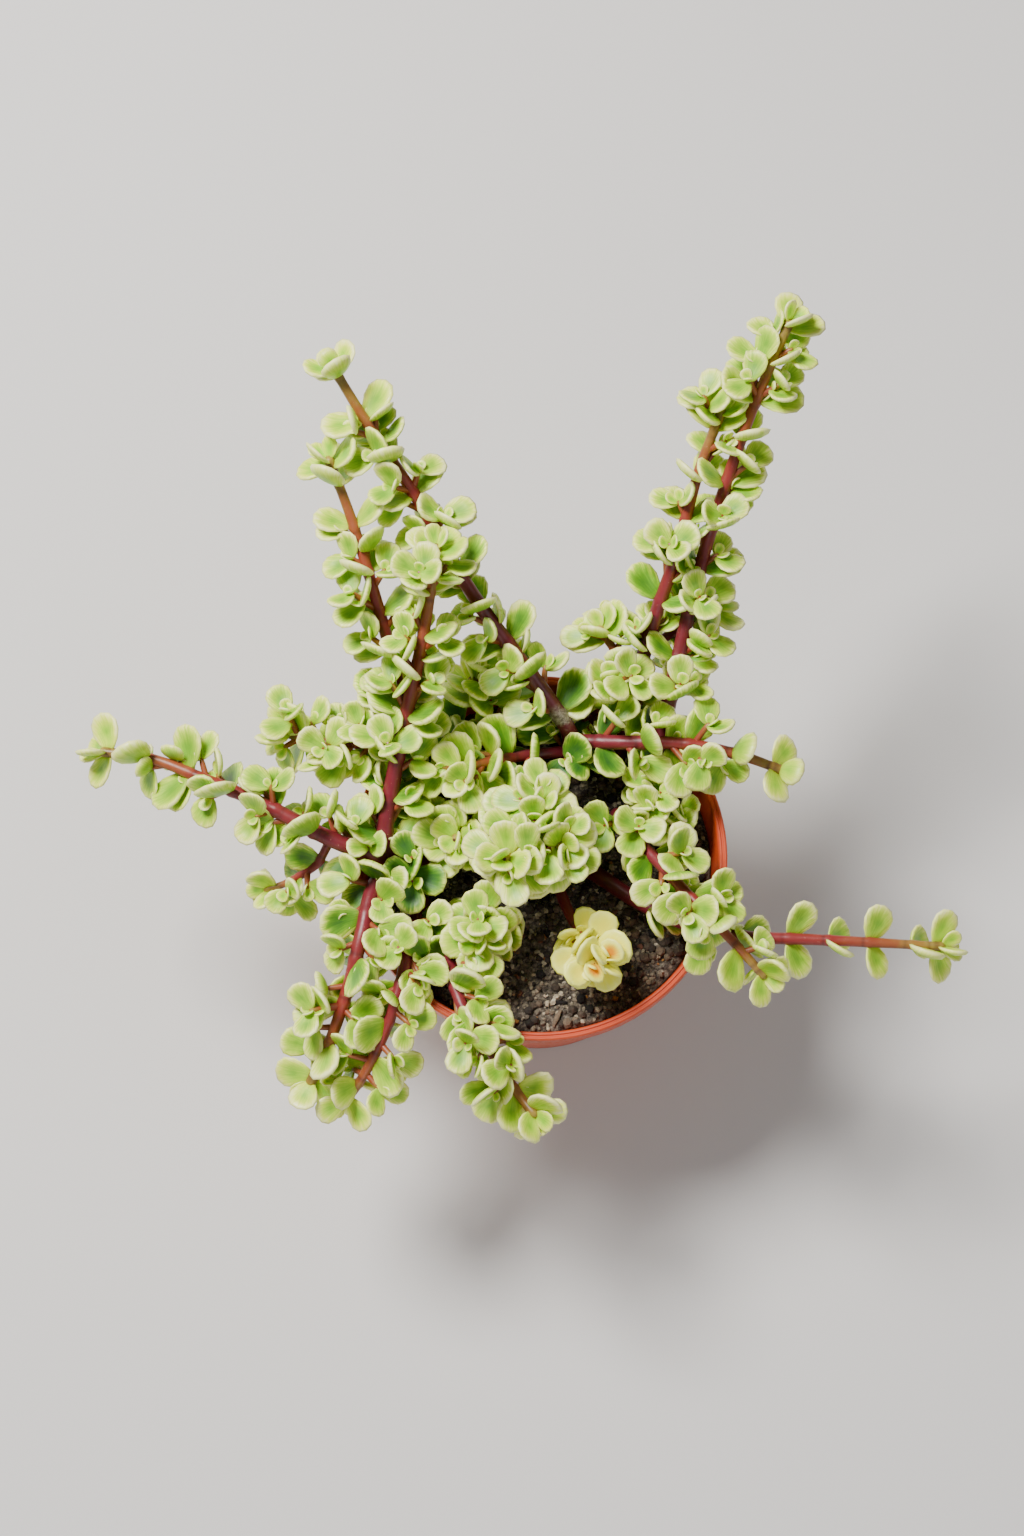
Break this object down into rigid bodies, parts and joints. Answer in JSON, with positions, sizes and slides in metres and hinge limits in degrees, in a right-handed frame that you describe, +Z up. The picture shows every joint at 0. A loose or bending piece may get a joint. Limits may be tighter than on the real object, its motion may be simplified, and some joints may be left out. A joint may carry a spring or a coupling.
{
  "type": "elephant bush in a nursery pot",
  "caption": "Trailing variegated succulent with long leafy stems spreading out of soil in a round terracotta-coloured plastic nursery pot.",
  "frame": {"origin": "centre of the pot's flat base, on the floor", "axes": "+Z up along the pot's axis; the front of the plant towards -Y, its long right stem towards +X and its long back stems towards +Y"},
  "size_m": [0.2799, 0.2501, 0.193],
  "materials": {
    "terracotta_plastic": "satin moulded plastic",
    "potting_soil": "rough crumbly soil",
    "variegated_leaf": "waxy semi-gloss leaves on maroon stems"
  },
  "bodies": {
    "root": {"pot": "terracotta_plastic", "soil": "potting_soil", "stem_left_crown": "variegated_leaf", "stem_centre_crown": "variegated_leaf", "stem_back_left": "variegated_leaf", "stem_left_low": "variegated_leaf", "stem_front_left": "variegated_leaf", "stem_front": "variegated_leaf", "stem_right_long": "variegated_leaf", "stem_right_over": "variegated_leaf", "stem_yellow_head": "variegated_leaf", "stem_centre_head": "variegated_leaf", "stem_back_right": "variegated_leaf", "stem_far_right": "variegated_leaf", "stem_back_short": "variegated_leaf", "stem_inner_left": "variegated_leaf", "stem_inner_back": "variegated_leaf", "stem_inner_front": "variegated_leaf", "stem_rear": "variegated_leaf"}
  },
  "joints": []
}
